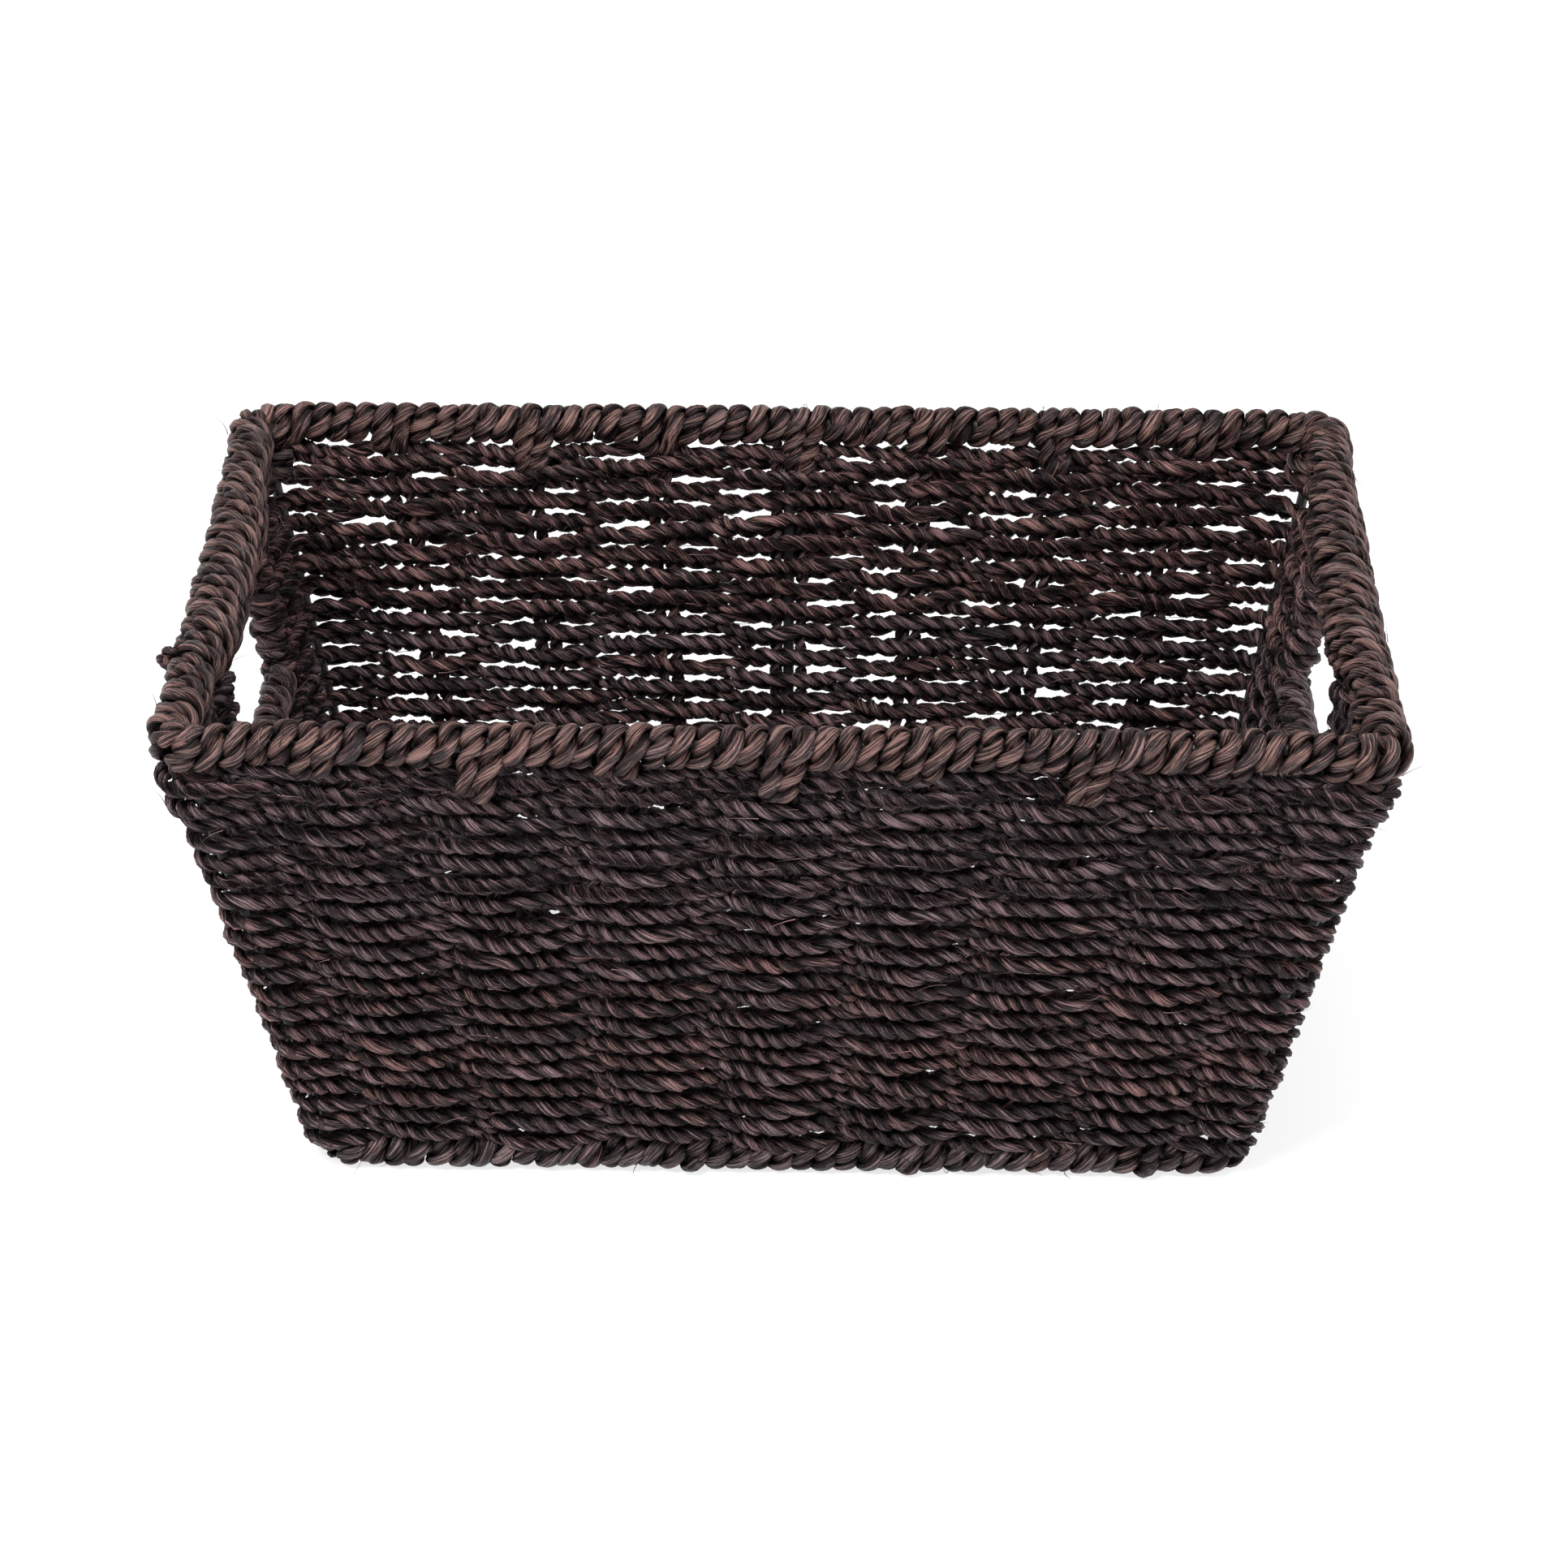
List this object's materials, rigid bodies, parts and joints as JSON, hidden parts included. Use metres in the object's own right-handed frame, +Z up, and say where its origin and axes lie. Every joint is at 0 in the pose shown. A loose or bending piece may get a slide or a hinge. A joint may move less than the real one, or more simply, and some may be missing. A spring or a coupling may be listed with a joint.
{
  "type": "woven storage basket",
  "caption": "Open tapered rectangular basket of dark twisted seagrass cord woven on a steel wire frame, with a wound rim, a wound base border and a hand hole in each end.",
  "frame": {"origin": "middle of the footprint, on the surface that the basket stands on", "axes": "+X along the length, from one hand hole to the other; +Y to the back wall; +Z up"},
  "size_m": [0.4, 0.255, 0.19],
  "materials": {
    "frame_wire": "dark enamelled steel wire",
    "stake_cord": "two-ply twisted seagrass cord, stained dark espresso",
    "weave_cord": "two-ply twisted seagrass cord, stained dark espresso, matt with a faint fibre sheen",
    "wrap_cord": "two-ply twisted seagrass cord, stained dark brown and rubbed lighter on the windings"
  },
  "bodies": {
    "root": {"base_cross_rod_left": "frame_wire", "base_cross_rod_right": "frame_wire", "base_mat": "weave_cord", "base_rod": "frame_wire", "base_stake_1": "stake_cord", "base_stake_2": "stake_cord", "base_stake_3": "stake_cord", "base_stake_4": "stake_cord", "base_stake_5": "stake_cord", "base_stake_6": "stake_cord", "base_stake_7": "stake_cord", "base_wrap_back": "wrap_cord", "base_wrap_front": "wrap_cord", "base_wrap_left": "wrap_cord", "base_wrap_right": "wrap_cord", "centre_post_back": "frame_wire", "centre_post_front": "frame_wire", "corner_post_back_left": "frame_wire", "corner_post_back_right": "frame_wire", "corner_post_front_left": "frame_wire", "corner_post_front_right": "frame_wire", "handle_bar_left": "frame_wire", "handle_bar_right": "frame_wire", "handle_post_left_back": "frame_wire", "handle_post_left_front": "frame_wire", "handle_post_right_back": "frame_wire", "handle_post_right_front": "frame_wire", "handle_wrap_left": "wrap_cord", "handle_wrap_right": "wrap_cord", "rim_rod": "frame_wire", "rim_wrap_back": "wrap_cord", "rim_wrap_front": "wrap_cord", "rim_wrap_left": "wrap_cord", "rim_wrap_right": "wrap_cord", "stake_back_1": "stake_cord", "stake_back_2": "stake_cord", "stake_back_3": "stake_cord", "stake_back_4": "stake_cord", "stake_back_5": "stake_cord", "stake_back_6": "stake_cord", "stake_back_7": "stake_cord", "stake_front_1": "stake_cord", "stake_front_2": "stake_cord", "stake_front_3": "stake_cord", "stake_front_4": "stake_cord", "stake_front_5": "stake_cord", "stake_front_6": "stake_cord", "stake_front_7": "stake_cord", "stake_left_1": "stake_cord", "stake_left_2": "stake_cord", "stake_left_3": "stake_cord", "stake_right_1": "stake_cord", "stake_right_2": "stake_cord", "stake_right_3": "stake_cord", "weave_back": "weave_cord", "weave_front": "weave_cord", "weave_left": "weave_cord", "weave_right": "weave_cord"}
  },
  "joints": []
}
